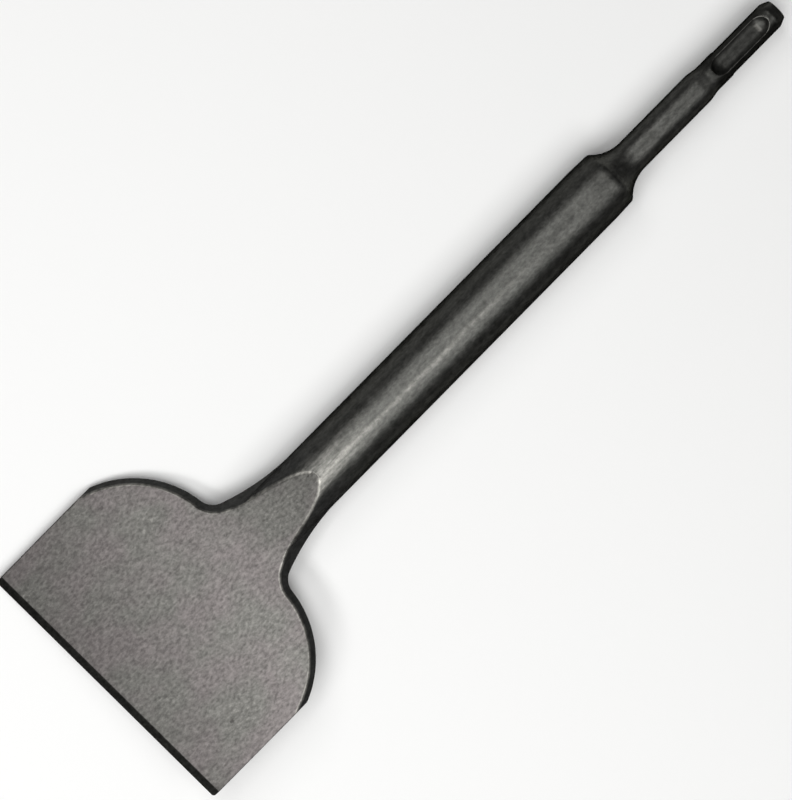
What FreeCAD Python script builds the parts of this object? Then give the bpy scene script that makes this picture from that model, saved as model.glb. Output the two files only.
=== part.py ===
import FreeCAD, Part

import math
import os

import Sketcher

# Wide flat chisel with a grooved quick-change shank, one forging of tool steel.
# The origin is the centre of the striking face at the shank's end, and +X runs
# along the tool to the cutting edge. It lies as it comes to rest on a bench: on
# its bar and on one side of its blade, turned about X by a few degrees.

# Driving sizes in mm and degrees. Lengths named from_tip are counted from the
# striking face, and lengths named from_edge from the cutting edge.
SIZES = {
    "overall_length": 300.0,
    # Shank: the part that goes into the holder.
    "shank_diameter": 10.0,
    "shank_end_from_tip": 30.9,
    "striking_face_diameter": 7.6,
    "striking_chamfer_length": 2.9,
    # Closed grooves for the holder's locking balls.
    "ball_groove_radius": 5.0,
    "ball_groove_floor": 2.9,
    "ball_groove_start_from_tip": 4.9,
    "ball_groove_length": 23.8,
    # Open slots for the holder's driving keys.
    "drive_slot_width": 2.8,
    "drive_slot_floor": 3.4,
    "drive_slot_length": 24.0,
    "drive_slot_cutter_radius": 6.0,
    # Neck, with a short cone from the shank.
    "neck_diameter": 11.2,
    "neck_cone_length": 3.8,
    "neck_end_from_tip": 64.2,
    # Bar, with a hollow shoulder to the neck and a slight taper behind it.
    "shoulder_radius": 13.2,
    "bar_end_diameter": 20.2,
    "bar_end_taper_length": 7.0,
    "bar_diameter": 20.8,
    "bar_end_edge_radius": 0.5,
    # Forged blade, in plan.
    "blade_width": 96.0,
    "blade_corner_radius": 1.0,
    "tongue_from_edge": 94.8,
    "flare_radius": 80.0,
    "throat_radius": 6.2,
    "crown_radius": 34.3,
    "crown_from_edge": 63.5,
    "crown_side_slope": 21.4,
    "forged_overhang": 6.0,
    "flare_inset": 0.1,
    # Forged blade, from the side.
    "rim_draft": 40.5,
    "tongue_angle": 14.6,
    "throat_blend_radius": 76.0,
    "blade_taper_angle": 0.6,
    "face_edge_radius": 0.5,
    # Ground cutting edge.
    "bevel_length": 2.6,
    "bevel_root_thickness": 3.5,
    "edge_thickness": 0.3,
}

doc = FreeCAD.newDocument("FlatChisel")
sheet = doc.addObject("Spreadsheet::Sheet", "Sizes")
for row, (alias, value) in enumerate(SIZES.items(), start=1):
    sheet.set(f"A{row}", alias.replace("_", " "))
    sheet.set(f"B{row}", str(value))
    sheet.setAlias(f"B{row}", alias)
doc.recompute()

# The sketcher's numbers for an edge's start, end and centre, and for the origin.
START, END, CENTRE = range(1, 4)
ORIGIN = (-1, 1)
# Two lengths in mm count as equal when they differ by less than this.
NEAR = 1e-3


def origin_plane(body, role):
    """The body's own origin plane of that role."""
    for feature in body.Origin.OriginFeatures:
        if feature.Role == role:
            return feature
    raise ValueError(role)


def new_sketch(body, name, role):
    """An empty sketch on one of the body's origin planes."""
    sketch = body.newObject("Sketcher::SketchObject", name)
    sketch.AttachmentSupport = [(origin_plane(body, role), "")]
    sketch.MapMode = "FlatFace"
    return sketch


def line(sketch, first, second):
    """A straight edge between two points of the sketch."""
    a = FreeCAD.Vector(first[0], first[1], 0)
    b = FreeCAD.Vector(second[0], second[1], 0)
    return sketch.addGeometry(Part.LineSegment(a, b), False)


def arc(sketch, centre, radius, first_angle, last_angle):
    """A round edge, anticlockwise from the first angle to the last, in degrees."""
    circle = Part.Circle(FreeCAD.Vector(centre[0], centre[1], 0), FreeCAD.Vector(0, 0, 1), radius)
    edge = Part.ArcOfCircle(circle, math.radians(first_angle), math.radians(last_angle))
    return sketch.addGeometry(edge, False)


def bind(sketch, kind, parts, start_value, expression):
    """A dimension of the sketch, driven by an expression on the sheet's sizes."""
    index = sketch.addConstraint(Sketcher.Constraint(kind, *parts, start_value))
    sketch.setExpression(f"Constraints[{index}]", expression)


def tie(sketch, kind, *parts):
    """A constraint without a value."""
    sketch.addConstraint(Sketcher.Constraint(kind, *parts))


def circles_meet(first_centre, first_radius, second_centre, second_radius):
    """The lower of the two points that two circles share."""
    across = second_centre[0] - first_centre[0]
    up = second_centre[1] - first_centre[1]
    apart = math.hypot(across, up)
    along = (first_radius**2 - second_radius**2 + apart**2) / (2 * apart)
    aside = math.sqrt(first_radius**2 - along**2)
    points = []
    for sign in (1, -1):
        x = first_centre[0] + (along * across - sign * aside * up) / apart
        y = first_centre[1] + (along * up + sign * aside * across) / apart
        points.append((x, y))
    return min(points, key=lambda point: point[1])


def bearing(centre, point):
    """The angle in degrees at which a point is seen from a centre."""
    return math.degrees(math.atan2(point[1] - centre[1], point[0] - centre[0]))


def value(name):
    return SIZES[name]


body = doc.addObject("PartDesign::Body", "flat_chisel")
body.Label = "flat_chisel"
EDGE = "Sizes.overall_length"
length = value("overall_length")
bar_radius = value("bar_diameter") / 2


# Turned bar: shank, neck, hollow shoulder and round bar in one profile.
def turned_profile():
    sketch = new_sketch(body, "TurnedProfile", "XY_Plane")
    shank_radius = value("shank_diameter") / 2
    neck_radius = value("neck_diameter") / 2
    neck_start = value("shank_end_from_tip") + value("neck_cone_length")
    rise = value("bar_end_diameter") / 2 - neck_radius
    shoulder = value("shoulder_radius")
    turn = math.degrees(math.acos(1 - rise / shoulder))
    corner = value("neck_end_from_tip") + shoulder * math.sin(math.radians(turn))
    core_end = length - value("crown_from_edge") + value("throat_radius")
    points = [
        (0, 0),
        (0, value("striking_face_diameter") / 2),
        (value("striking_chamfer_length"), shank_radius),
        (value("shank_end_from_tip"), shank_radius),
        (neck_start, neck_radius),
        (value("neck_end_from_tip"), neck_radius),
    ]
    face, chamfer, shank, cone, neck = [line(sketch, a, b) for a, b in zip(points, points[1:])]
    hollow_centre = (value("neck_end_from_tip"), neck_radius + shoulder)
    hollow = arc(sketch, hollow_centre, shoulder, 270, 270 + turn)
    taper_end = (corner + value("bar_end_taper_length"), bar_radius)
    taper = line(sketch, (corner, value("bar_end_diameter") / 2), taper_end)
    bar = line(sketch, taper_end, (core_end, bar_radius))
    end = line(sketch, (core_end, bar_radius), (core_end, 0))
    axis = line(sketch, (core_end, 0), (0, 0))

    tie(sketch, "Coincident", face, START, *ORIGIN)
    for edge, following in ((face, chamfer), (chamfer, shank), (shank, cone), (cone, neck)):
        tie(sketch, "Coincident", edge, END, following, START)
    tie(sketch, "Tangent", neck, END, hollow, START)
    for edge, following in ((hollow, taper), (taper, bar), (bar, end), (end, axis), (axis, face)):
        tie(sketch, "Coincident", edge, END, following, START)
    for edge in (face, end):
        tie(sketch, "Vertical", edge)
    for edge in (shank, neck, bar, axis):
        tie(sketch, "Horizontal", edge)

    def across(edge, point, start_value, expression):
        bind(sketch, "DistanceY", (*ORIGIN, edge, point), start_value, expression)

    def along(edge, point, start_value, expression):
        bind(sketch, "DistanceX", (*ORIGIN, edge, point), start_value, expression)

    across(face, END, value("striking_face_diameter") / 2, "Sizes.striking_face_diameter / 2")
    along(chamfer, END, value("striking_chamfer_length"), "Sizes.striking_chamfer_length")
    across(shank, START, shank_radius, "Sizes.shank_diameter / 2")
    along(shank, END, value("shank_end_from_tip"), "Sizes.shank_end_from_tip")
    along(cone, END, neck_start, "Sizes.shank_end_from_tip + Sizes.neck_cone_length")
    across(cone, END, neck_radius, "Sizes.neck_diameter / 2")
    along(neck, END, value("neck_end_from_tip"), "Sizes.neck_end_from_tip")
    bind(sketch, "Radius", (hollow,), shoulder, "Sizes.shoulder_radius")
    across(hollow, END, value("bar_end_diameter") / 2, "Sizes.bar_end_diameter / 2")
    bind(sketch, "DistanceX", (taper, START, taper, END), value("bar_end_taper_length"),
         "Sizes.bar_end_taper_length")
    across(taper, END, bar_radius, "Sizes.bar_diameter / 2")
    along(bar, END, core_end, f"{EDGE} - Sizes.crown_from_edge + Sizes.throat_radius")
    return sketch


# Forged blade in plan. The flare leaves the bar's side, turns out at the throat
# and goes round the crown. Past the blade's width the forging runs on by the
# overhang, which is sheared off afterwards.
def forged_outline():
    sketch = new_sketch(body, "ForgedOutline", "XY_Plane")
    flare, throat, crown = value("flare_radius"), value("throat_radius"), value("crown_radius")
    half_width = value("blade_width") / 2
    overhang = half_width + value("forged_overhang")
    nose = length + value("forged_overhang")
    tail = (length - value("tongue_from_edge"), bar_radius - value("flare_inset"))
    flare_centre = (tail[0], tail[1] + flare)
    crown_start = 90 + value("crown_side_slope")
    crown_centre = (length - value("crown_from_edge") + crown,
                    half_width - crown * math.sin(math.radians(crown_start)))
    throat_centre = circles_meet(flare_centre, flare - throat, crown_centre, crown + throat)
    flare_end = bearing(flare_centre, throat_centre) % 360
    throat_end = bearing(throat_centre, crown_centre) % 360
    crown_end = bearing(crown_centre, throat_centre) % 360
    side_start = (crown_centre[0] + crown * math.cos(math.radians(crown_start)), half_width)
    side_run = value("forged_overhang") / math.tan(math.radians(value("crown_side_slope")))
    side_end = (side_start[0] + side_run, overhang)

    tails, noses = [], []
    for side in (1, -1):
        def mirrored(point):
            return (point[0], side * point[1])

        def curve(centre, radius, first, last):
            """A round edge of this side, and the names of its first and last ends."""
            if side > 0:
                return arc(sketch, centre, radius, first, last), START, END
            return arc(sketch, mirrored(centre), radius, -last, -first), END, START

        flare_arc, flare_first, flare_last = curve(flare_centre, flare, 270, flare_end)
        throat_arc, throat_first, throat_last = curve(throat_centre, throat, flare_end, throat_end)
        crown_arc, crown_first, crown_last = curve(crown_centre, crown, crown_start, crown_end)
        slant = line(sketch, mirrored(side_start), mirrored(side_end))
        outer = line(sketch, mirrored(side_end), mirrored((nose, overhang)))

        tie(sketch, "Tangent", flare_arc, flare_last, throat_arc, throat_first)
        tie(sketch, "Tangent", throat_arc, throat_last, crown_arc, crown_last)
        tie(sketch, "Tangent", crown_arc, crown_first, slant, START)
        tie(sketch, "Coincident", slant, END, outer, START)
        tie(sketch, "Vertical", flare_arc, CENTRE, flare_arc, flare_first)
        tie(sketch, "Horizontal", outer)

        bind(sketch, "Radius", (flare_arc,), flare, "Sizes.flare_radius")
        bind(sketch, "Radius", (throat_arc,), throat, "Sizes.throat_radius")
        bind(sketch, "Radius", (crown_arc,), crown, "Sizes.crown_radius")
        bind(sketch, "DistanceX", (*ORIGIN, flare_arc, flare_first), tail[0],
             f"{EDGE} - Sizes.tongue_from_edge")
        bind(sketch, "DistanceY", (*ORIGIN, flare_arc, flare_first), side * tail[1],
             f"{side} * (Sizes.bar_diameter / 2 - Sizes.flare_inset)")
        bind(sketch, "DistanceX", (*ORIGIN, crown_arc, CENTRE), crown_centre[0],
             f"{EDGE} - Sizes.crown_from_edge + Sizes.crown_radius")
        bind(sketch, "DistanceY", (*ORIGIN, crown_arc, CENTRE), side * crown_centre[1],
             f"{side} * (Sizes.blade_width / 2"
             " - Sizes.crown_radius * cos(Sizes.crown_side_slope))")
        bind(sketch, "DistanceY", (*ORIGIN, crown_arc, crown_first), side * half_width,
             f"{side} * Sizes.blade_width / 2")
        bind(sketch, "DistanceY", (*ORIGIN, slant, END), side * overhang,
             f"{side} * (Sizes.blade_width / 2 + Sizes.forged_overhang)")
        bind(sketch, "DistanceX", (*ORIGIN, outer, END), nose, f"{EDGE} + Sizes.forged_overhang")
        tails.append((flare_arc, flare_first))
        noses.append((outer, END))

    for ends, x, y in ((tails, tail[0], tail[1]), (noses, nose, overhang)):
        across = line(sketch, (x, y), (x, -y))
        tie(sketch, "Coincident", across, START, *ends[0])
        tie(sketch, "Coincident", across, END, *ends[1])
    return sketch


def upright_faces(shape):
    """Names of the faces that stand upright on the outline's plane."""
    names = []
    for number, face in enumerate(shape.Faces, start=1):
        around, along = face.ParameterRange[:2], face.ParameterRange[2:]
        if abs(face.normalAt(sum(around) / 2, sum(along) / 2).z) < NEAR:
            names.append(f"Face{number}")
    return names


# The half that the upper die forms, with sides that lean in so that it leaves the
# die, and then the lower half as its mirror image.
forged = body.newObject("PartDesign::Pad", "ForgedBlade")
forged.Profile = forged_outline()
forged.setExpression("Length", "Sizes.bar_diameter / 2")
doc.recompute()
leaning = body.newObject("PartDesign::Draft", "RimDraft")
leaning.Base = (forged, upright_faces(forged.Shape))
leaning.NeutralPlane = (origin_plane(body, "XY_Plane"), [""])
leaning.setExpression("Angle", "Sizes.rim_draft")
doc.recompute()
lower = body.newObject("PartDesign::Mirrored", "LowerHalf")
lower.TransformMode = "Whole shape"
lower.MirrorPlane = (origin_plane(body, "XY_Plane"), [""])
body.Tip = lower
doc.recompute()


# The turned bar runs into the forging as far as behind the throat.
turned = body.newObject("PartDesign::Revolution", "TurnedBar")
turned.Profile = turned_profile()
turned.ReferenceAxis = (turned.Profile[0], ["H_Axis"])
turned.Angle = 360
doc.recompute()


# Forged faces from the side. Each slopes from the bar's crest to the throat,
# where a large radius turns it into the thin blade, and the ground bevels end it.
def side_profile():
    sketch = new_sketch(body, "SideProfile", "XZ_Plane")
    clear = value("forged_overhang")
    slope, taper = math.radians(value("tongue_angle")), math.radians(value("blade_taper_angle"))
    blend = value("throat_blend_radius")
    top = bar_radius + clear
    tongue_x = length - value("tongue_from_edge")
    root = (length - value("bevel_length"), value("bevel_root_thickness") / 2)
    start = (tongue_x - clear / math.tan(slope), top)
    # Where the two face lines would meet, and how far from there the blend ends.
    run = bar_radius - root[1] + (tongue_x - root[0]) * math.tan(taper)
    corner_x = tongue_x + run / (math.tan(slope) - math.tan(taper))
    corner = (corner_x, bar_radius - (corner_x - tongue_x) * math.tan(slope))
    leg = blend * math.tan((slope - taper) / 2)
    blend_start = (corner[0] - leg * math.cos(slope), corner[1] + leg * math.sin(slope))
    blend_end = (corner[0] + leg * math.cos(taper), corner[1] - leg * math.sin(taper))
    blend_centre = (blend_start[0] + blend * math.sin(slope),
                    blend_start[1] + blend * math.cos(slope))
    beyond = length + 2 * clear

    for side in (1, -1):
        def mirrored(point):
            return (point[0], side * point[1])

        tongue = line(sketch, mirrored(start), mirrored(blend_start))
        first, last = 270 - math.degrees(slope), 270 - math.degrees(taper)
        if side > 0:
            curve, curve_first, curve_last = arc(sketch, blend_centre, blend, first, last), START, END
        else:
            curve = arc(sketch, mirrored(blend_centre), blend, -last, -first)
            curve_first, curve_last = END, START
        edge_half = value("edge_thickness") / 2
        corners = [blend_end, root, (length, edge_half), (beyond, edge_half), (beyond, top), start]
        corners = [mirrored(point) for point in corners]
        blade, bevel, past, front, above = [line(sketch, a, b) for a, b in zip(corners, corners[1:])]

        tie(sketch, "Tangent", tongue, END, curve, curve_first)
        tie(sketch, "Tangent", curve, curve_last, blade, START)
        for edge, following in ((blade, bevel), (bevel, past), (past, front), (front, above),
                                (above, tongue)):
            tie(sketch, "Coincident", edge, END, following, START)
        tie(sketch, "Horizontal", past)
        tie(sketch, "Horizontal", above)
        tie(sketch, "Vertical", front)

        bind(sketch, "DistanceX", (*ORIGIN, tongue, START), start[0],
             f"{EDGE} - Sizes.tongue_from_edge - Sizes.forged_overhang / tan(Sizes.tongue_angle)")
        bind(sketch, "DistanceY", (*ORIGIN, tongue, START), side * top,
             f"{side} * (Sizes.bar_diameter / 2 + Sizes.forged_overhang)")
        bind(sketch, "Angle", (tongue,), -side * slope, f"{-side} * Sizes.tongue_angle * 1 deg")
        bind(sketch, "Angle", (blade,), -side * taper, f"{-side} * Sizes.blade_taper_angle * 1 deg")
        bind(sketch, "Radius", (curve,), blend, "Sizes.throat_blend_radius")
        bind(sketch, "DistanceX", (*ORIGIN, bevel, START), root[0], f"{EDGE} - Sizes.bevel_length")
        bind(sketch, "DistanceY", (*ORIGIN, bevel, START), side * root[1],
             f"{side} * Sizes.bevel_root_thickness / 2")
        bind(sketch, "DistanceX", (*ORIGIN, bevel, END), length, EDGE)
        bind(sketch, "DistanceY", (*ORIGIN, bevel, END), side * edge_half,
             f"{side} * Sizes.edge_thickness / 2")
        bind(sketch, "DistanceX", (*ORIGIN, past, END), beyond,
             f"{EDGE} + 2 * Sizes.forged_overhang")
    return sketch


def cut(name, profile, width):
    """A cut right through the tool, as wide as stated, centred on the sketch's plane."""
    pocket = body.newObject("PartDesign::Pocket", name)
    pocket.Profile = profile
    pocket.SideType = "Symmetric"
    pocket.setExpression("Length", width)
    return pocket


cut("ForgedFaces", side_profile(), "Sizes.blade_width + 4 * Sizes.forged_overhang")
doc.recompute()


# The forging is sheared to the blade's width and length, with rounded corners.
def sheared_outline():
    sketch = new_sketch(body, "ShearedOutline", "XY_Plane")
    half_width = value("blade_width") / 2
    corner = value("blade_corner_radius")
    clear = value("forged_overhang")
    back = length - value("crown_from_edge")
    beyond, outside = length + 2 * clear, half_width + 2 * clear
    edge_y = half_width - corner
    left_arc = arc(sketch, (length - corner, edge_y), corner, 0, 90)
    right_arc = arc(sketch, (length - corner, -edge_y), corner, -90, 0)
    corners = [(length - corner, half_width), (back, half_width), (back, outside),
               (beyond, outside), (beyond, -outside), (back, -outside), (back, -half_width),
               (length - corner, -half_width)]
    around = [line(sketch, a, b) for a, b in zip(corners, corners[1:])]
    left, left_rear, left_outer, front, right_outer, right_rear, right = around
    edge = line(sketch, (length, -edge_y), (length, edge_y))

    tie(sketch, "Tangent", left_arc, END, left, START)
    tie(sketch, "Tangent", right, END, right_arc, START)
    tie(sketch, "Tangent", right_arc, END, edge, START)
    tie(sketch, "Coincident", edge, END, left_arc, START)
    for one, following in zip(around, around[1:]):
        tie(sketch, "Coincident", one, END, following, START)
    for one in (left, left_outer, right_outer, right):
        tie(sketch, "Horizontal", one)
    for one in (left_rear, front, right_rear, edge):
        tie(sketch, "Vertical", one)

    for curve in (left_arc, right_arc):
        bind(sketch, "Radius", (curve,), corner, "Sizes.blade_corner_radius")
    bind(sketch, "DistanceX", (*ORIGIN, edge, START), length, EDGE)
    for side, trim, rear in ((1, left, left_rear), (-1, right, right_rear)):
        bind(sketch, "DistanceY", (*ORIGIN, trim, START), side * half_width,
             f"{side} * Sizes.blade_width / 2")
        bind(sketch, "DistanceX", (*ORIGIN, rear, START), back,
             f"{EDGE} - Sizes.crown_from_edge")
    for side, point in ((1, START), (-1, END)):
        bind(sketch, "DistanceY", (*ORIGIN, front, point), side * outside,
             f"{side} * (Sizes.blade_width / 2 + 2 * Sizes.forged_overhang)")
    bind(sketch, "DistanceX", (*ORIGIN, front, START), beyond,
         f"{EDGE} + 2 * Sizes.forged_overhang")
    return sketch


sheared = cut("ShearedBlade", sheared_outline(), "2 * Sizes.bar_diameter")
doc.recompute()


# Rounded edges: the forged faces' rims all round, and the shoulder's crest.
def forged_faces(shape):
    """The faces between the tongue's tip and the bevels that run straight across."""
    first = length - value("tongue_from_edge")
    last = length - value("bevel_length")
    found = []
    for face in shape.Faces:
        box = face.BoundBox
        normal = face.normalAt(*[sum(ends) / 2 for ends in (face.ParameterRange[:2],
                                                            face.ParameterRange[2:])])
        inside = box.XMin > first - NEAR and box.XMax < last + NEAR
        if inside and abs(normal.y) < NEAR and abs(normal.z) > abs(normal.x):
            found.append(face)
    return found


def face_rim(shape):
    """Names of the edges round the forged faces, apart from the bevels' roots."""
    faces = forged_faces(shape)
    last = length - value("bevel_length")
    names = []
    for number, edge in enumerate(shape.Edges, start=1):
        touching = sum(1 for face in faces for other in face.Edges if other.isSame(edge))
        if touching == 1 and edge.BoundBox.XMin < last - NEAR:
            names.append(f"Edge{number}")
    return names


def shoulder_crest(shape):
    """Name of the round edge between the hollow shoulder and the bar's taper."""
    radius = value("bar_end_diameter") / 2
    for number, edge in enumerate(shape.Edges, start=1):
        box = edge.BoundBox
        if box.XLength < NEAR and abs(box.YMax - radius) < NEAR and box.XMin > NEAR:
            return [f"Edge{number}"]
    raise RuntimeError("no shoulder crest")


def rounded(name, base, edges, radius):
    """Those edges of the base, rounded to one of the sheet's radii."""
    fillet = body.newObject("PartDesign::Fillet", name)
    fillet.Base = (base, edges)
    fillet.setExpression("Radius", radius)
    doc.recompute()
    return fillet


rim = rounded("FaceRims", sheared, face_rim(sheared.Shape), "Sizes.face_edge_radius")
rounded("ShoulderCrest", rim, shoulder_crest(rim.Shape), "Sizes.bar_end_edge_radius")


# Ball groove: a trough with round ends, turned about an axis above the shank.
def ball_groove_profile():
    sketch = new_sketch(body, "BallGrooveProfile", "XZ_Plane")
    radius = value("ball_groove_radius")
    axis_height = value("ball_groove_floor") + radius
    shank_radius = value("shank_diameter") / 2
    ramp = math.sqrt(radius**2 - (axis_height - shank_radius) ** 2)
    near = value("ball_groove_start_from_tip") + ramp
    far = near + value("ball_groove_length") - 2 * ramp
    near_arc = arc(sketch, (near, axis_height), radius, 180, 270)
    floor = line(sketch, (near, axis_height - radius), (far, axis_height - radius))
    far_arc = arc(sketch, (far, axis_height), radius, 270, 360)
    axis = line(sketch, (far + radius, axis_height), (near - radius, axis_height))

    tie(sketch, "Tangent", near_arc, END, floor, START)
    tie(sketch, "Tangent", floor, END, far_arc, START)
    tie(sketch, "Coincident", far_arc, END, axis, START)
    tie(sketch, "Coincident", axis, END, near_arc, START)
    tie(sketch, "Horizontal", axis)
    tie(sketch, "Horizontal", near_arc, CENTRE, near_arc, START)
    tie(sketch, "Vertical", near_arc, CENTRE, near_arc, END)

    rise = "(Sizes.ball_groove_floor + Sizes.ball_groove_radius - Sizes.shank_diameter / 2)"
    ramp_length = f"sqrt(Sizes.ball_groove_radius ^ 2 - {rise} ^ 2)"
    bind(sketch, "Radius", (near_arc,), radius, "Sizes.ball_groove_radius")
    bind(sketch, "DistanceY", (*ORIGIN, floor, START), axis_height - radius,
         "Sizes.ball_groove_floor")
    bind(sketch, "DistanceX", (*ORIGIN, floor, START), near,
         f"Sizes.ball_groove_start_from_tip + {ramp_length}")
    bind(sketch, "DistanceX", (floor, START, floor, END), far - near,
         f"Sizes.ball_groove_length - 2 * {ramp_length}")
    return sketch, axis


def opposite(name, feature):
    """The same feature again on the other side of the tool's axis."""
    pattern = body.newObject("PartDesign::PolarPattern", name)
    pattern.Originals = [feature]
    pattern.Axis = (origin_plane(body, "X_Axis"), [""])
    pattern.Angle = 360
    pattern.Occurrences = 2
    body.Tip = pattern
    return pattern


ball_profile, ball_axis = ball_groove_profile()
ball_groove = body.newObject("PartDesign::Groove", "BallGroove")
ball_groove.Profile = ball_profile
ball_groove.ReferenceAxis = (ball_profile, [f"Edge{ball_axis + 1}"])
ball_groove.Angle = 360
opposite("BallGrooves", ball_groove)
doc.recompute()


# Drive slot: open at the striking face, with a floor that runs out in an arc.
def drive_slot_profile():
    sketch = new_sketch(body, "DriveSlotProfile", "XY_Plane")
    floor_y, cutter = value("drive_slot_floor"), value("drive_slot_cutter_radius")
    shank_radius, end = value("shank_diameter") / 2, value("drive_slot_length")
    top, mouth = value("shank_diameter"), -value("drive_slot_width")
    sweep = math.degrees(math.acos(1 - (shank_radius - floor_y) / cutter))
    floor_end = end - cutter * math.sin(math.radians(sweep))
    floor = line(sketch, (mouth, floor_y), (floor_end, floor_y))
    run_out = arc(sketch, (floor_end, floor_y + cutter), cutter, 270, 270 + sweep)
    corners = [(end, shank_radius), (end, top), (mouth, top), (mouth, floor_y)]
    rise, above, front = [line(sketch, a, b) for a, b in zip(corners, corners[1:])]

    tie(sketch, "Tangent", floor, END, run_out, START)
    for edge, following in ((run_out, rise), (rise, above), (above, front), (front, floor)):
        tie(sketch, "Coincident", edge, END, following, START)
    for edge in (floor, above):
        tie(sketch, "Horizontal", edge)
    for edge in (rise, front):
        tie(sketch, "Vertical", edge)

    bind(sketch, "Radius", (run_out,), cutter, "Sizes.drive_slot_cutter_radius")
    bind(sketch, "DistanceY", (*ORIGIN, floor, START), floor_y, "Sizes.drive_slot_floor")
    bind(sketch, "DistanceX", (*ORIGIN, floor, START), mouth, "-Sizes.drive_slot_width")
    bind(sketch, "DistanceX", (*ORIGIN, run_out, END), end, "Sizes.drive_slot_length")
    bind(sketch, "DistanceY", (*ORIGIN, run_out, END), shank_radius, "Sizes.shank_diameter / 2")
    bind(sketch, "DistanceY", (*ORIGIN, above, START), top, "Sizes.shank_diameter")
    return sketch


drive_slot = cut("DriveSlot", drive_slot_profile(), "Sizes.drive_slot_width")
opposite("DriveSlots", drive_slot)

# At rest the bar's lowest line and one side of the blade touch the bench.
HALF_WIDTH = "(Sizes.blade_width / 2)"
HALF_BLADE = ("(Sizes.bevel_root_thickness / 2 + tan(Sizes.blade_taper_angle)"
              " * (Sizes.crown_from_edge - Sizes.crown_radius))")
REACH = f"sqrt({HALF_WIDTH} ^ 2 + {HALF_BLADE} ^ 2)"
body.Placement = FreeCAD.Placement(FreeCAD.Vector(), FreeCAD.Rotation(FreeCAD.Vector(1, 0, 0), 10))
body.setExpression(
    "Placement.Rotation.Angle",
    f"asin(Sizes.bar_diameter / 2 / {REACH}) - atan({HALF_BLADE} / {HALF_WIDTH})",
)
doc.recompute()

for item in doc.Objects:
    if "Invalid" in item.State or "Error" in item.State:
        raise RuntimeError(f"{item.Name} failed: {item.State}")
os.makedirs("parts", exist_ok=True)
shape = body.Shape
if shape.isNull() or not shape.isValid() or len(shape.Solids) != 1:
    raise RuntimeError(f"{body.Label} is not one valid solid")
shape.exportStep(f"parts/{body.Label}.step")
print(f"{body.Label}: {shape.Volume:.0f} cubic mm, turned {body.Placement.Rotation.Angle:.4f} rad")
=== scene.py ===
import math
import bmesh
import bpy
import numpy as np
from mathutils import Matrix, Vector


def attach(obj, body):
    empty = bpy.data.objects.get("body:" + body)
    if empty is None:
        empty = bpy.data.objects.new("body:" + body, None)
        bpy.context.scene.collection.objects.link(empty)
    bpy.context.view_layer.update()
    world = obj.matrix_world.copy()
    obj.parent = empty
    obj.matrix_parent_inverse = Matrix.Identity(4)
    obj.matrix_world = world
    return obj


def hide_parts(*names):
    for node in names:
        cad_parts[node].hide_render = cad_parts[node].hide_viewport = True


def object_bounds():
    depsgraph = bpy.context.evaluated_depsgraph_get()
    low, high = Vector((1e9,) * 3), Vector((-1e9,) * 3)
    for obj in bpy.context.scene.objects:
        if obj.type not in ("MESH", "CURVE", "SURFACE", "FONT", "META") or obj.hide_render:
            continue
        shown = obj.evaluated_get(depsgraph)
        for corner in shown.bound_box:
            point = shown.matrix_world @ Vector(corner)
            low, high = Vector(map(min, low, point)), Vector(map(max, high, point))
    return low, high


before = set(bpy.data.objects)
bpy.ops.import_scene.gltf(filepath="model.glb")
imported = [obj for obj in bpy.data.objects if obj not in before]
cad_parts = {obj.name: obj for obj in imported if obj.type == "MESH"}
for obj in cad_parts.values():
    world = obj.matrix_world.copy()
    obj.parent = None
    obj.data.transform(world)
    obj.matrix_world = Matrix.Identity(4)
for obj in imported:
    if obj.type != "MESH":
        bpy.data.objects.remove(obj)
cadBox = [list(corner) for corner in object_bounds()]
print("frame loaded, CAD box in metres:", cadBox)

mm = 0.001                    # a millimetre in metres

# The chisel in mm and degrees, the same values as the CAD part, and from coreEnd on
# the skin's own. Along the tool, x runs from the striking face to the cutting edge;
# the blade lies across y.
chisel = {
    "length": 300.0,
    "faceRadius": 3.8,        # striking face
    "faceChamfer": 2.9,
    "shankRadius": 5.0,
    "shankEnd": 30.9,
    "coneLength": 3.8,
    "neckRadius": 5.6,
    "neckEnd": 64.2,
    "shoulderRadius": 13.2,   # hollow shoulder up to the bar
    "barEndRadius": 10.1,
    "barEndTaper": 7.0,
    "barRadius": 10.4,
    "bladeHalfWidth": 48.0,
    "cornerRadius": 1.0,
    "tongueStart": 205.2,     # tip of the tongue where the forging begins
    "flareRadius": 80.0,
    "flareInset": 0.1,
    "throatRadius": 6.2,
    "crownRadius": 34.3,
    "crownStart": 236.5,
    "crownSideSlope": 21.4,
    "rimDraft": 40.5,         # lean of the forged rim from upright
    "tongueAngle": 14.6,
    "throatBlend": 76.0,
    "bladeTaper": 0.6,
    "bevelLength": 2.6,
    "bevelRoot": 1.75,        # half thicknesses
    "edgeHalf": 0.15,
    "coreEnd": 242.0,         # the bar has sunk into the forging here
    "rimRound": 0.7,          # how softly the rim turns into the face
    "tongueRound": 0.9,       # how softly the tongue's face meets the bar
    "tongueLead": 7.0,        # that starts this far before the tip
    "flankRound": 4.0,        # how softly the rim meets the bar's flank
    "flankFrom": 5.0,         # that starts this far behind the tip
    "flankRun": 25.0,         # and is whole after this length
    "wallRound": 0.35,        # round between the face and the blade's straight sides
}

# Grooves of the shank in mm: closed ones for the locking balls above and below,
# open ones for the driving keys at the sides.
grooves = {
    "ballRadius": 5.0,
    "ballFloor": 2.9,
    "ballStart": 4.9,
    "ballLength": 23.8,
    "slotHalfWidth": 1.4,
    "slotFloor": 3.4,
    "slotEnd": 24.0,
    "cutterRadius": 6.0,
}

columns = 56                  # points round a quarter of each section

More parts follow.
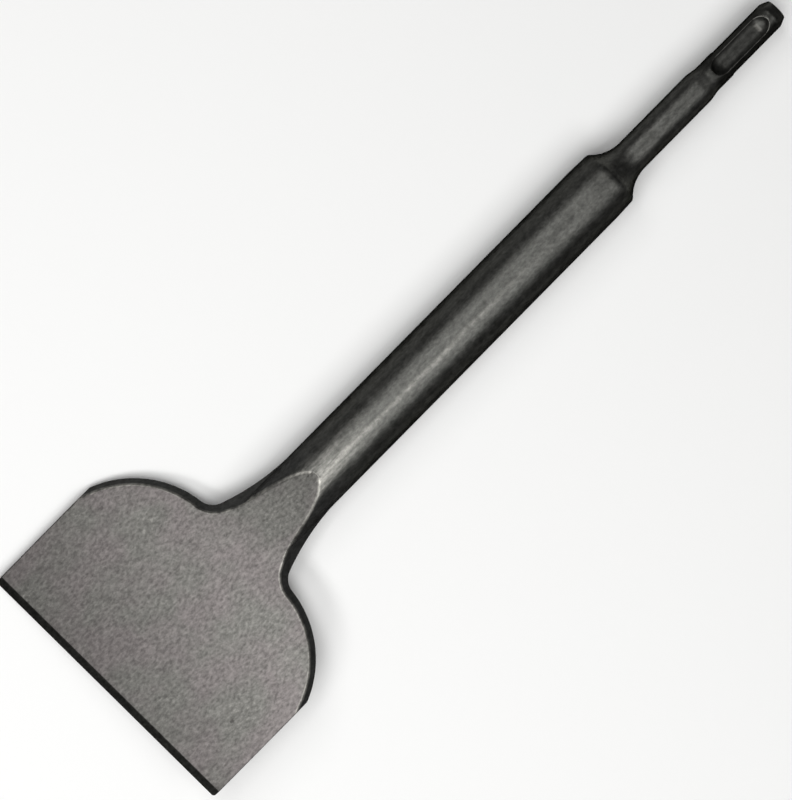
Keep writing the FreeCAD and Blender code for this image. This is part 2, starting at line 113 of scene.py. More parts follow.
# How the rows of the forging lie: their number on each stretch of its outline, and the
# way they run in from there to the middle line, with lengths in mm.
rowLay = {
    "flare": 64,
    "throat": 30,
    "crown": 76,
    "side": 46,
    "bevel": 5,
    "lean": 0.55,             # share of a row's own slant that is left at the middle line
    "lead": 4.2,              # rows from the straight side start out this far ahead,
    "leadRun": 16.0,          # less and less over this length
    "squareRun": 12.0,        # and turn square to the side over this one
    "byRoot": 0.15,           # the bevel's root has a row this far to each side
    "pull": 0.4,              # how far a row keeps its first direction, as a share
    "crownReach": 6.0,        # the crown's arc shapes the rim this far in
}

# What the steel reads at each point: its distance in mm inside the face's outline,
# outside the bar, from the crest of the bar, and inside a ball groove's rim.
markNames = ("edgeDistance", "rimDistance", "crestDistance", "grooveDistance")
markReach = 3.0               # the first two stop at this distance to each side,
grooveReach = 2.0             # the last one at this
noCrest = 90.0                # and the third has this value where there is no bar
least = 0.1                   # smallest height, in mm, that a slope is worked out from


def circlesMeet(c1, r1, c2, r2):
    # The lower of the two points that two circles share.
    across, up = c2[0] - c1[0], c2[1] - c1[1]
    apart = math.hypot(across, up)
    along = (r1**2 - r2**2 + apart**2) / (2 * apart)
    aside = math.sqrt(r1**2 - along**2)
    return np.array([c1[0] + (along * across + aside * up) / apart,
                     c1[1] + (along * up - aside * across) / apart])


def softMin(a, b, reach):
    # The smaller of a and b, rounded over where they are within reach of each other.
    t = np.clip(0.5 + 0.5 * (b - a) / reach, 0, 1)
    return b + (a - b) * t - reach * t * (1 - t)


def softMax(a, b, reach):
    # The larger of the two, rounded over in the same way.
    return -softMin(-a, -b, reach)


def faceHeight(x):
    # Half thickness along the tool: a slope down the tongue, an arc, then the blade's
    # own slight taper, and the ground bevel.
    c = chisel
    slope, taper = math.radians(c["tongueAngle"]), math.radians(c["bladeTaper"])
    rootX = c["length"] - c["bevelLength"]
    tongue = c["barRadius"] - (x - c["tongueStart"]) * math.tan(slope)
    blade = c["bevelRoot"] + (rootX - x) * math.tan(taper)
    run = c["barRadius"] - c["bevelRoot"] - (rootX - c["tongueStart"]) * math.tan(taper)
    cornerX = c["tongueStart"] + run / (math.tan(slope) - math.tan(taper))
    cornerZ = c["barRadius"] - (cornerX - c["tongueStart"]) * math.tan(slope)
    leg = c["throatBlend"] * math.tan((slope - taper) / 2)
    startX = cornerX - leg * math.cos(slope)
    centreX = startX + c["throatBlend"] * math.sin(slope)
    centreZ = cornerZ + leg * math.sin(slope) + c["throatBlend"] * math.cos(slope)
    endX = cornerX + leg * math.cos(taper)
    arc = centreZ - np.sqrt(np.maximum(c["throatBlend"]**2 - (x - centreX)**2, 0))
    height = np.where(x < startX, tongue, np.where(x < endX, arc, blade))
    bevel = c["bevelRoot"] + (x - rootX) * (c["edgeHalf"] - c["bevelRoot"]) / c["bevelLength"]
    return np.minimum(height, np.where(x > rootX, bevel, height))


def turnedProfile():
    # Stations along the turned part and the radius at each: straight lines between the
    # corners, and an arc for the hollow shoulder.
    c = chisel
    rise, hollow = c["barEndRadius"] - c["neckRadius"], c["shoulderRadius"]
    reach = math.sqrt(hollow**2 - (hollow - rise)**2)
    coneEnd = c["shankEnd"] + c["coneLength"]
    corner = c["neckEnd"] + reach
    taperEnd = corner + c["barEndTaper"]
    leadStart = c["tongueStart"] - c["tongueLead"]
    # Each stretch, as first station, last station and their number, stops a little short
    # of its corners, so that they shade round.
    stretches = (
        (0.3, c["faceChamfer"] - 0.2, 8),
        (c["faceChamfer"] + 0.2, c["shankEnd"] - 0.25, 84),
        (c["shankEnd"] + 0.25, coneEnd - 0.3, 8),
        (coneEnd + 0.3, c["neckEnd"] - 0.3, 12),
        (c["neckEnd"] + 0.2, corner - 0.35, 14),
        (corner + 0.35, taperEnd - 0.4, 5),
        (taperEnd + 0.4, leadStart, 40),
        (leadStart + 0.5, c["tongueStart"] - 0.5, 13))
    # The striking face comes first, in five rings.
    faceX = [0, 0, 0, 0, 0.08]
    faceR = [0, 1.9, 3.4, c["faceRadius"] - 0.2, c["faceRadius"] - 0.05]
    x = np.concatenate([faceX] + [np.linspace(*stretch) for stretch in stretches])
    knots = [0, c["faceChamfer"], c["shankEnd"], coneEnd, c["neckEnd"], corner, taperEnd]
    radii = [c["faceRadius"], c["shankRadius"], c["shankRadius"], c["neckRadius"],
             c["neckRadius"], c["barEndRadius"], c["barRadius"]]
    r = np.interp(x, knots, radii)
    arc = c["neckRadius"] + hollow - np.sqrt(hollow**2 - np.clip(x - c["neckEnd"], 0, reach)**2)
    r = np.where((x > c["neckEnd"]) & (x < corner), arc, r)
    r[:len(faceR)] = faceR
    return x, r


def forgedPath():
    # Points along one side of the forging, on three tangent arcs and then the straight
    # side with its round corner. With them come the direction inwards at each, where
    # each row meets the tool's middle line, and which circle sets the rim's distance.
    c, lay = chisel, rowLay
    flareCentre = np.array([c["tongueStart"], c["barRadius"] - c["flareInset"] + c["flareRadius"]])
    slope = math.radians(c["crownSideSlope"])
    crownCentre = np.array([c["crownStart"] + c["crownRadius"],
                            c["bladeHalfWidth"] - c["crownRadius"] * math.cos(slope)])
    throatCentre = circlesMeet(flareCentre, c["flareRadius"] - c["throatRadius"],
                               crownCentre, c["crownRadius"] + c["throatRadius"])

    def bearing(a, b):
        return math.atan2(b[1] - a[1], b[0] - a[0]) % (2 * math.pi)

    flareEnd, throatEnd = bearing(flareCentre, throatCentre), bearing(throatCentre, crownCentre)
    crownEnd = bearing(crownCentre, throatCentre)
    if throatEnd < flareEnd:
        throatEnd += 2 * math.pi
    parts = []
    for centre, radius, first, last, count, inside in (
            (flareCentre, c["flareRadius"], 1.5 * math.pi, flareEnd, lay["flare"], 1),
            (throatCentre, c["throatRadius"], flareEnd, throatEnd, lay["throat"], 1),
            (crownCentre, c["crownRadius"], crownEnd, math.pi / 2 + slope, lay["crown"], -1)):
        angle = np.linspace(first, last, count + 1)[:-1]
        way = np.stack([np.cos(angle), np.sin(angle)], 1)
        parts.append((centre + radius * way, inside * way, np.tile(centre, (count, 1)),
                      np.full(count, radius), np.full(count, inside)))
    point, inward, centre, radius, inside = (np.concatenate(part) for part in zip(*parts))

    # The flare's rows meet the middle line by their own slant, the others at even steps.
    steps = np.hypot(*np.diff(point, axis=0).T)
    run = np.concatenate([[0], np.cumsum(steps)])
    flare, sideX = lay["flare"], crownCentre[0] - c["crownRadius"] * math.sin(slope)
    steepest = 0.3                # a row's way down is never taken for less than this
    slant = inward[:, 0] / np.maximum(-inward[:, 1], steepest)
    middle = point[:, 0] + lay["lean"] * point[:, 1] * slant
    share = (run[flare:] - run[flare - 1]) / (run[-1] - run[flare - 1])
    middle[flare:] = middle[flare - 1] + share * (sideX + lay["lead"] - middle[flare - 1])

    rootX, cornerX = c["length"] - c["bevelLength"], c["length"] - c["cornerRadius"]
    x = np.concatenate([np.linspace(sideX, rootX - lay["byRoot"], lay["side"]),
                        np.linspace(rootX + lay["byRoot"], cornerX, lay["bevel"]),
                        cornerX + c["cornerRadius"] * np.array([0.3, 0.6, 0.85, 0.97, 1])])
    intoCorner = np.clip(x - cornerX, 0, c["cornerRadius"])
    half = c["bladeHalfWidth"] - c["cornerRadius"] + np.sqrt(c["cornerRadius"]**2 - intoCorner**2)
    way = slope * (1 - np.clip((x - sideX) / lay["squareRun"], 0, 1))
    sidePoint = np.stack([x, half], 1)
    sideInward = np.stack([np.sin(way), -np.cos(way)], 1)
    sideMiddle = x + lay["lead"] * (1 - np.clip((x - sideX) / lay["leadRun"], 0, 1))**2
    return (np.concatenate([point, sidePoint]), np.concatenate([inward, sideInward]),
            np.concatenate([middle, sideMiddle]), centre, radius, inside, sideX, slope)


def forgedRows():
    # One row per point of the path, from the middle line out to the rim, as a bend
    # that meets the rim at right angles. The height is the lowest of the forged face
    # and the rim's slope, with the round bar standing through where it is higher.
    c, pull = chisel, rowLay["pull"]
    point, inward, middle, centre, radius, inside, sideX, slope = forgedPath()
    point[:, 1] = np.maximum(point[:, 1], c["barRadius"])
    across = 1 - np.sin(np.linspace(0, math.pi / 2, columns + 1))     # 1 middle, 0 rim
    end = np.stack([middle, np.zeros(len(middle))], 1)
    width = np.hypot(*(end - point).T)[:, None]
    bend = point + inward * pull * width
    t = across[None, :, None]
    # The bend's own step near the rim is 2 * pull * t, so t is eased to run evenly.
    ease = t + (1 - 2 * pull) * t * (1 - t)
    grid = (1 - ease)**2 * point[:, None] + 2 * ease * (1 - ease) * bend[:, None]
    grid = grid + ease**2 * end[:, None]
    x, y = grid[..., 0], np.maximum(grid[..., 1], 0)

    # How far in from the outline each point is: off the arc's circle, or else off the
    # straight side. The crown's circle curves away further in, where the rim is no limit.
    count = len(radius)
    gone = np.hypot(x[:count] - centre[:, None, 0], y[:count] - centre[:, None, 1])
    inset = inside[:, None] * (gone - radius[:, None])
    farIn = (inside[:, None] < 0) & (across * width[:count] > rowLay["crownReach"])
    inset = np.where(farIn, c["bladeHalfWidth"], inset)
    slant = (x[count:] - sideX) * math.sin(slope)
    slant = slant + (c["bladeHalfWidth"] - y[count:]) * math.cos(slope)
    rim = np.concatenate([inset, slant]) / math.tan(math.radians(c["rimDraft"]))

    # The rim's slope and the bar meet in a hollow that opens up behind the tongue's tip.
    height = faceHeight(x)
    onCore = x < c["coreEnd"]
    core = np.where(onCore, np.sqrt(np.maximum(c["barRadius"]**2 - y**2, 0)), 0)
    opened = np.clip((x - c["tongueStart"] - c["flankFrom"]) / c["flankRun"], 0, 1)
    none = 0.01                             # a round that can't be seen
    low = 0.9 * np.maximum(core, rim)       # near the outline no round lifts the foot
    solid = softMax(core, rim, np.clip(low, none, c["flankRound"] * opened + none))
    z = softMin(height, solid, np.where(rim > core, c["rimRound"], c["tongueRound"]))
    z[:, -1] = 0
    z = np.maximum(z, 0)

    # The straight sides are upright walls, whose top edge is an arc no taller than z.
    wall = np.maximum(point[count:, 1:2] - y[count:], 0)
    curve = np.minimum(c["wallRound"], 0.6 * z[count:])
    fall = curve - np.sqrt(np.maximum(curve**2 - np.maximum(curve - wall, 0)**2, 0))
    z[count:] = z[count:] - fall
    z[count:, -1] = 0

    # How far each point lies inside the outline of the forged face, along the surface.
    steep = np.where(rim > core, 1 / math.tan(math.radians(c["rimDraft"])),
                     np.hypot(math.tan(math.radians(c["tongueAngle"])), y / np.maximum(core, least)))
    edge = np.clip((solid - height) / steep, -markReach, markReach)
    return x, y, z, edge, np.clip(rim - core, -markReach, markReach), np.where(onCore, y, noCrest)


def wholeLoop(quarter):
    # A quarter's columns, unfolded into the four quarters of a closed loop.
    index = np.arange(4 * columns)
    fold = index % (2 * columns)
    return quarter[:, np.where(fold <= columns, fold, 2 * columns - fold)]


def chiselGrid():
    # All sections of the tool, one row each, as x, y and z in mm, and the marks.
    c, g = chisel, grooves
    index = np.arange(4 * columns)
    angle = index / columns * math.pi / 2
    ySign = np.where(index <= 2 * columns, 1, -1)
    zSign = np.where((index <= columns) | (index >= 3 * columns), 1, -1)
    stations, radii = turnedProfile()
    x = np.repeat(stations[:, None], 4 * columns, 1)
    y, z = radii[:, None] * np.sin(angle), radii[:, None] * np.cos(angle)

    # Towards the tongue's tip the forged face already rounds the bar's crest.
    face = faceHeight(x)
    nearTip = x > c["tongueStart"] - c["tongueLead"]
    steep = np.hypot(math.tan(math.radians(c["tongueAngle"])), y / np.maximum(np.abs(z), least))
    edge = np.clip((np.abs(z) - face) / steep, -markReach, 0)
    z = np.where(nearTip, np.sign(z) * softMin(face, np.abs(z), c["tongueRound"]), z)
    crest = y

    # Ball grooves: a ball run along a line above the shank takes away what it meets.
    ball, lineZ = g["ballRadius"], g["ballFloor"] + g["ballRadius"]
    reach = math.sqrt(ball**2 - (lineZ - c["shankRadius"])**2)
    near, far = g["ballStart"] + reach, g["ballStart"] + g["ballLength"] - reach
    past = np.maximum(np.maximum(near - x, x - far), 0)
    drop = lineZ - np.sqrt(np.maximum(ball**2 - y**2 - past**2, 0))
    inGroove = (ball**2 > y**2 + past**2) & (x < c["shankEnd"])
    grooveRim = np.clip(np.abs(z) - drop, -grooveReach, grooveReach)
    grooveRim = np.where(inGroove, grooveRim, -grooveReach)
    z = np.where(inGroove, np.sign(z) * np.minimum(np.abs(z), drop), z)

    # Drive slots: a flat floor, run out at the end on the cutter's own radius.
    cutter = g["cutterRadius"]
    runOut = cutter * math.sin(math.acos(1 - (c["shankRadius"] - g["slotFloor"]) / cutter))
    past = np.clip(x - g["slotEnd"] + runOut, 0, runOut)
    floor = g["slotFloor"] + cutter - np.sqrt(cutter**2 - past**2)
    inSlot = (np.abs(z) < g["slotHalfWidth"]) & (x < g["slotEnd"])
    y = np.where(inSlot, np.sign(y) * np.minimum(np.abs(y), floor), y)

    # The forging follows, and its last row comes twice: the edge's own narrow land
    # closes on a line along its middle.
    fx, fy, fz, forgedEdge, forgedRim, forgedCrest = (wholeLoop(part) for part in forgedRows())
    turnedMarks = (edge, np.full_like(x, -markReach), crest, grooveRim)
    forgedMarks = (forgedEdge, forgedRim, forgedCrest * ySign, np.full_like(fx, -grooveReach))
    marks = {name: np.concatenate([turned, forged, forged[-1:]])
             for name, turned, forged in zip(markNames, turnedMarks, forgedMarks)}
    fy, fz = fy * ySign, fz * zSign
    return (np.concatenate([x, fx, fx[-1:]]), np.concatenate([y, fy, fy[-1:]]),
            np.concatenate([z, fz, 0 * fz[-1:]]), marks)


def restRoll():
    # The turn about x at which the bar and one side of the blade touch the bench.
    c = chisel
    halfBlade = c["bevelRoot"] + math.tan(math.radians(c["bladeTaper"])) * (
        c["length"] - c["crownStart"] - c["crownRadius"])
    reach = math.hypot(c["bladeHalfWidth"], halfBlade)
    return math.asin(c["barRadius"] / reach) - math.atan2(halfBlade, c["bladeHalfWidth"])


def makeSkin(name, x, y, z, marks, roll):
    # Quads between neighbouring rows and columns; each row closes on itself, and the
    # points that fall together at the two ends are merged.
    together, tiny, sharpFrom = 2e-6, 1e-7, 38     # two lengths in metres and an angle
    rows, wide = x.shape
    turnedY = y * math.cos(roll) - z * math.sin(roll)
    turnedZ = y * math.sin(roll) + z * math.cos(roll)
    points = np.stack([x, turnedY, turnedZ], -1).reshape(-1, 3) * mm
    row, column = np.meshgrid(np.arange(rows - 1), np.arange(wide), indexing="ij")
    after = (column + 1) % wide
    quads = np.stack([row * wide + column, row * wide + after,
                      (row + 1) * wide + after, (row + 1) * wide + column], -1).reshape(-1, 4)
    mesh = bpy.data.meshes.new(name)
    mesh.vertices.add(len(points))
    mesh.vertices.foreach_set("co", points.astype(np.float32).ravel())
    mesh.loops.add(quads.size)
    mesh.loops.foreach_set("vertex_index", quads.astype(np.int32).ravel())
    mesh.polygons.add(len(quads))
    mesh.polygons.foreach_set("loop_start", np.arange(0, quads.size, 4, dtype=np.int32))
    mesh.update(calc_edges=True)
    for label, values in marks.items():
        mark = mesh.attributes.new(label, "FLOAT", "POINT")
        mark.data.foreach_set("value", values.astype(np.float32).ravel())
    work = bmesh.new()
    work.from_mesh(mesh)
    bmesh.ops.remove_doubles(work, verts=work.verts, dist=together)
    bmesh.ops.dissolve_degenerate(work, edges=work.edges, dist=tiny)
    bmesh.ops.recalc_face_normals(work, faces=work.faces)
    openEdges = sum(not e.is_manifold for e in work.edges)
    print(name, "faces", len(work.faces), "open edges", openEdges,
          "volume", round(work.calc_volume(signed=True) / mm**3), "cubic mm")
    work.to_mesh(mesh)
    work.free()
    mesh.polygons.foreach_set("use_smooth", np.ones(len(mesh.polygons), bool))
    mesh.set_sharp_from_angle(angle=math.radians(sharpFrom))
    piece = bpy.data.objects.new(name, mesh)
    bpy.context.scene.collection.objects.link(piece)
    return piece


def toLinear(hexColour):
    # An sRGB hex colour as the linear one that the shader takes.
    parts = [int(hexColour[i:i + 2], 16) / 255 for i in (1, 3, 5)]
    return [p / 12.92 if p <= 0.04045 else ((p + 0.055) / 1.055)**2.4 for p in parts] + [1]


def perMetre(size):
    # Texture scale on coordinates in metres for a pattern of this size in mm.
    return 1 / (size * mm)


def addNode(tree, kind, inputs=None, give=None, **settings):
    # One node with its settings, its inputs by name or number, and their links. It hands
    # back the output called give, or else the first one in use.
    node = tree.nodes.new(kind)
    for name, value in settings.items():
        setattr(node, name, value)
    for name, value in (inputs or {}).items():
        socket = node.inputs[name] if isinstance(name, int) else next(
            s for s in node.inputs if s.name == name and s.enabled)
        if isinstance(value, bpy.types.NodeSocket):
            tree.links.new(value, socket)
        else:
            socket.default_value = value
    return next(s for s in node.outputs if s.enabled and s.name == (give or s.name))


# Drop-forged tool steel, hardened and left dark with its oxide. It reads as a dull grey
# metal that goes nearly black where it turns away from the light, helped by painted shade,
# with a fine blasted grain, soft patches of warm and greenish grey, bare steel along rubbed
# edges, and painted highlights and light on edges, groove rims, the throat and the struck end.
# Sizes and places in mm. A range is the two values of a noise, or of the normal's part,
# between which one thing passes into another, and a core the share of a half width
# that is at full strength.
steel = {
    "bar": "#5b5b58",
    "barDark": "#545451",
    "faceWarm": "#5f5b5a",
    "faceCool": "#5c5b58",
    # the rim's oxide, darkened further as painted shade where it turns away from the light
    "rim": "#454544",
    "bevel": "#393937",
    # bare steel where rubbed, and the colour of the painted highlights
    "rubbedAndHighlight": "#a19f99",
    "pit": "#3c3a38",
    "roughBar": 0.42,
    "roughFace": 0.5,
    "roughRim": 0.55,
    "roughSpread": 0.05,
    "grazing": "#3a3a3a",     # how little of the bench shows at a grazing angle
    "faceFade": 0.12,         # half width of the step from bar to face
    "rimFade": 0.2,           # width of the step from bar to rim
    "bevelFade": 0.05,        # half width of the step from face to bevel
    "flankFade": (-15.0, 3.0),    # the flanks darken to the rim, partly painted shade, between these, from the tongue's tip,
    "flankCore": 0.7,             # below this share of the rubbed crest's half width
    "grain": 0.95,            # blasted grain, drawn coarser than real so that it shows
    "grainStretch": 0.65,     # its width over its length along the tool
    "mottle": 3.2,
    "patch": 17.0,
    "streakWidth": 1.3,       # drawing marks along the bar
    "streakLength": 9.0,
    "noiseRange": (0.3, 0.7),     # for grain and mottle,
    "streakRange": (0.35, 0.65),  # the bar's two tones
    "patchRange": (0.4, 0.6),     # and the face's two
    "grainContrast": 0.36,
    "mottleContrast": 0.22,
    "barContrast": 0.75,      # share of both contrasts on the bar
    "barRelief": 0.55,        # and of the heights
    "grainHeight": 0.06,
    "mottleHeight": 0.12,
    "pitSpacing": 11.0,
    "pitShare": 0.45,
    "pitReach": 0.08,         # share of the spacing
    "pitCore": 0.3,
    "pitDepth": 0.15,
    "scuffShare": 0.14,       # bare specks in groups where the blade has been knocked
    "scuffGrain": (0.56, 0.68),
    "scuffPatch": (0.6, 0.68),
    "edgeLine": 0.6,          # half width of the line round the face, rubbed and partly a painted highlight
    "edgeLineCore": 0.3,
    "edgeLineShare": 0.62,
    "edgeLineRange": (0.36, 0.56),
    "edgeLineLeft": 0.35,     # share that is left where the mottle breaks it
    "drawLineAt": 1.45,       # rubbed line along the bar, this far from the crest
    "drawLineWander": 2.2,
    "drawLineWave": 18.0,     # length of its waves
    "drawLineHalf": 1.1,
    "drawLineFull": 0.1,      # half width, in mm, at full strength
    "drawLineShare": 0.32,
    "drawLineRange": (0.38, 0.6),
    "drawLineLeft": 0.55,
    "drawLineStart": (100.0, 150.0),
    "rubStart": 178.0,        # the bar is rubbed brighter from here to the tongue
    "rubShare": 0.34,
    "rubHalf": 6.5,           # it lies on the crest, this far to each side
    "rubCore": 0.6,
    "rubRange": (0.4, 0.6),
    "rubLeft": 0.3,
    "grooveEndHighlightAt": 8.7,        # painted highlight where a ball groove's floor rises, this far from the end
    "grooveEndHighlightHalf": (0.9, 1.6),
    "grooveEndHighlightCore": (0.3, 0.6),
    "grooveEndHighlightShare": 0.6,
    "grooveRimHighlight": 0.16,       # half width of the painted highlight round a ball groove's rim
    "grooveRimHighlightCore": 0.4,
    "grooveRimHighlightShare": 0.38,
    "paintedFlankShade": 0.6,        # painted shade down the bar's sides,
    "flankRange": (0.5, 0.72),    # by how far the surface turns sideways
    "paintedEdgeShade": 0.83,        # painted shade towards the cutting edge,
    "paintedThroatLight": 1.25,      # painted light round the throat,
    "throatAt": (232.0, 255.0),
    "paintedTipShade": 0.87,         # and painted shade again at the tongue's tip
    "paintedSideShade": 0.15,        # difference from the middle to each side, painted light on one and painted shade on the other
    "shankShade": 0.5,        # the shank is darker, down to this share,
    "shankFade": (32.0, 29.0),
    "paintedEndLight": 1.7,       # and painted light at the end that is struck
    "paintedEndLightFade": (6.0, 2.0),
}


def forgedSteel():
    # Masks say where on the tool a point lies, noises what the surface is like there,
    # and both together give the colour, the roughness and the height.
    s = steel
    material = bpy.data.materials.new("dropForgedToolSteel")
    material.use_nodes = True
    tree = material.node_tree
    shader = tree.nodes["Principled BSDF"]
    shader.inputs["Metallic"].default_value = 1
    shader.inputs["Specular Tint"].default_value = toLinear(s["grazing"])

    # Where a point lies: along, across and above the tool in metres, and its marks.
    place = addNode(tree, "ShaderNodeTexCoord", give="Object")
    along, aside, upright = (
        addNode(tree, "ShaderNodeSeparateXYZ", {"Vector": place}, axis) for axis in "XYZ")
    edge, rim, crest, groove = (
        addNode(tree, "ShaderNodeAttribute", give="Fac", attribute_name=name) for name in markNames)
    fromEdge, fromCrest, fromGroove = (
        addNode(tree, "ShaderNodeMath", {0: mark}, operation="ABSOLUTE") for mark in (edge, crest, groove))

    # Masks of the face, the bar and the rim; the rim's dark colour is partly oxide, partly painted
    # shade. The bar's flanks inside the forging are as dark as the rim and count as rim.
    tip, step = chisel["tongueStart"], s["faceFade"]
    onFace = addNode(tree, "ShaderNodeMapRange", {0: edge, 1: -step, 2: step})
    offFace = addNode(tree, "ShaderNodeMapRange", {0: edge, 1: step, 2: -step})
    onBar = addNode(tree, "ShaderNodeMapRange", {0: rim, 1: 0, 2: -s["rimFade"]})
    offBar = addNode(tree, "ShaderNodeMapRange", {0: rim, 1: -s["rimFade"], 2: 0})
    start, end = ((tip + reach) * mm for reach in s["flankFade"])
    byTip = addNode(tree, "ShaderNodeMapRange", {0: along, 1: start, 2: end})
    beside = addNode(tree, "ShaderNodeMapRange", {
        0: fromCrest, 1: s["flankCore"] * s["rubHalf"], 2: s["rubHalf"]})
    flank = addNode(tree, "ShaderNodeMath", {0: byTip, 1: beside}, operation="MULTIPLY")
    onRim = addNode(tree, "ShaderNodeMath", {0: offBar, 1: flank}, operation="MAXIMUM")
    onRim = addNode(tree, "ShaderNodeMath", {0: onRim, 1: offFace}, operation="MULTIPLY")
    root = chisel["length"] - chisel["bevelLength"]
    start, end = (root - s["bevelFade"]) * mm, (root + s["bevelFade"]) * mm
    onBevel = addNode(tree, "ShaderNodeMapRange", {0: along, 1: start, 2: end})

    # Noises: each with its stretch along the tool, its size, detail and roughness.
    noises = []
    for stretch, size, detail, roughness in (
            (s["grainStretch"], s["grain"], 3, 0.6),
            (1, s["mottle"], 4, 0.6),
            (1, s["patch"], 2, 0.5),
            (s["streakWidth"] / s["streakLength"], s["streakWidth"], 3, 0.55)):
        laid = addNode(tree, "ShaderNodeMapping", {"Vector": place, "Scale": (stretch, 1, 1)})
        noises.append(addNode(tree, "ShaderNodeTexNoise", {
            "Vector": laid, "Scale": perMetre(size), "Detail": detail, "Roughness": roughness}, "Fac"))
    grain, mottle, patch, streak = noises

    # Pits in the face: the few cells whose own random number falls under the share.
    cells = {"Vector": place, "Scale": perMetre(s["pitSpacing"])}
    gone = addNode(tree, "ShaderNodeTexVoronoi", cells, "Distance")
    lot = addNode(tree, "ShaderNodeTexVoronoi", cells, "Color")
    drawn = addNode(tree, "ShaderNodeSeparateXYZ", {"Vector": lot}, "X")
    chosen = addNode(tree, "ShaderNodeMath", {0: drawn, 1: s["pitShare"]}, operation="LESS_THAN")
    pit = addNode(tree, "ShaderNodeMapRange", {
        0: gone, 1: s["pitReach"], 2: s["pitCore"] * s["pitReach"]})
    for mask in (chosen, onFace):
        pit = addNode(tree, "ShaderNodeMath", {0: pit, 1: mask}, operation="MULTIPLY")

    # Rubbed: a wandering line along the top of the bar, broken by the mottle.
    line = addNode(tree, "ShaderNodeCombineXYZ", {"X": along})
    wander = addNode(tree, "ShaderNodeTexNoise", {
        "Vector": line, "Scale": perMetre(s["drawLineWave"]), "Detail": 2}, "Fac")
    offset = 0.5 * s["drawLineWander"] - s["drawLineAt"]
    wander = addNode(tree, "ShaderNodeMath", {
        0: wander, 1: -s["drawLineWander"], 2: offset}, operation="MULTIPLY_ADD")
    fromLine = addNode(tree, "ShaderNodeMath", {0: crest, 1: wander}, operation="ADD")
    fromLine = addNode(tree, "ShaderNodeMath", {0: fromLine}, operation="ABSOLUTE")
    drawLine = addNode(tree, "ShaderNodeMapRange", {
        0: fromLine, 1: s["drawLineHalf"], 2: s["drawLineFull"], 3: 0, 4: s["drawLineShare"]})
    upward = addNode(tree, "ShaderNodeMapRange", {0: upright, 1: -mm, 2: mm})
    start, end = s["drawLineRange"]
    broken = addNode(tree, "ShaderNodeMapRange", {0: mottle, 1: start, 2: end, 3: s["drawLineLeft"]})
    start, end = (x * mm for x in s["drawLineStart"])
    begun = addNode(tree, "ShaderNodeMapRange", {0: along, 1: start, 2: end})
    for mask in (upward, broken, begun):
        drawLine = addNode(tree, "ShaderNodeMath", {0: drawLine, 1: mask}, operation="MULTIPLY")

    # Rubbed: the crest of the bar behind the tongue, in streaks.
    behind = addNode(tree, "ShaderNodeMapRange", {
        0: along, 1: s["rubStart"] * mm, 2: tip * mm, 3: 0, 4: s["rubShare"]})
    start, end = s["rubRange"]
    streaks = addNode(tree, "ShaderNodeMapRange", {0: streak, 1: start, 2: end, 3: s["rubLeft"]})
    onCrest = addNode(tree, "ShaderNodeMapRange", {
        0: fromCrest, 1: s["rubHalf"], 2: s["rubCore"] * s["rubHalf"]})
    for mask in (streaks, onCrest):
        behind = addNode(tree, "ShaderNodeMath", {0: behind, 1: mask}, operation="MULTIPLY")

    # Painted highlights: where a ball groove's floor rises at its end, and round the grooves' rims.
    (halfX, halfY), (coreX, coreY) = s["grooveEndHighlightHalf"], s["grooveEndHighlightCore"]
    fromGrooveEndHighlight = addNode(tree, "ShaderNodeMath", {0: along, 1: s["grooveEndHighlightAt"] * mm}, operation="SUBTRACT")
    fromGrooveEndHighlight = addNode(tree, "ShaderNodeMath", {0: fromGrooveEndHighlight}, operation="ABSOLUTE")
    grooveEndHighlightX = addNode(tree, "ShaderNodeMapRange", {
        0: fromGrooveEndHighlight, 1: halfX * mm, 2: coreX * halfX * mm, 3: 0, 4: s["grooveEndHighlightShare"]})
    grooveEndHighlightY = addNode(tree, "ShaderNodeMapRange", {0: fromCrest, 1: halfY, 2: coreY * halfY})
    grooveEndHighlight = addNode(tree, "ShaderNodeMath", {0: grooveEndHighlightX, 1: grooveEndHighlightY}, operation="MULTIPLY")
    # Painted highlight round the rim of each ball groove.
    half, core = s["grooveRimHighlight"], s["grooveRimHighlightCore"]
    grooveRimHighlight = addNode(tree, "ShaderNodeMapRange", {
        0: fromGroove, 1: half, 2: core * half, 3: 0, 4: s["grooveRimHighlightShare"]})

    # The outline of the face, rubbed and partly a painted highlight, broken by the mottle; rubbed scuffs on
    # the face.
    half, core = s["edgeLine"], s["edgeLineCore"]
    edgeLine = addNode(tree, "ShaderNodeMapRange", {
        0: fromEdge, 1: half, 2: core * half, 3: 0, 4: s["edgeLineShare"]})
    start, end = s["edgeLineRange"]
    broken = addNode(tree, "ShaderNodeMapRange", {0: mottle, 1: start, 2: end, 3: s["edgeLineLeft"]})
    edgeLine = addNode(tree, "ShaderNodeMath", {0: edgeLine, 1: broken}, operation="MULTIPLY")
    start, end = s["scuffGrain"]
    scuffs = addNode(tree, "ShaderNodeMapRange", {0: grain, 1: start, 2: end, 3: 0, 4: s["scuffShare"]})
    start, end = s["scuffPatch"]
    groups = addNode(tree, "ShaderNodeMapRange", {0: patch, 1: start, 2: end})
    for mask in (groups, onFace):
        scuffs = addNode(tree, "ShaderNodeMath", {0: scuffs, 1: mask}, operation="MULTIPLY")

    # Rubbed marks and painted highlights on the bar stay on the bar.
    bareAndHighlight = drawLine
    for part in (behind, grooveEndHighlight, grooveRimHighlight):
        bareAndHighlight = addNode(tree, "ShaderNodeMath", {0: bareAndHighlight, 1: part}, operation="ADD")
    for mask in (offFace, onBar):
        bareAndHighlight = addNode(tree, "ShaderNodeMath", {0: bareAndHighlight, 1: mask}, operation="MULTIPLY")
    for part in (edgeLine, scuffs):
        bareAndHighlight = addNode(tree, "ShaderNodeMath", {0: bareAndHighlight, 1: part}, operation="ADD", use_clamp=True)

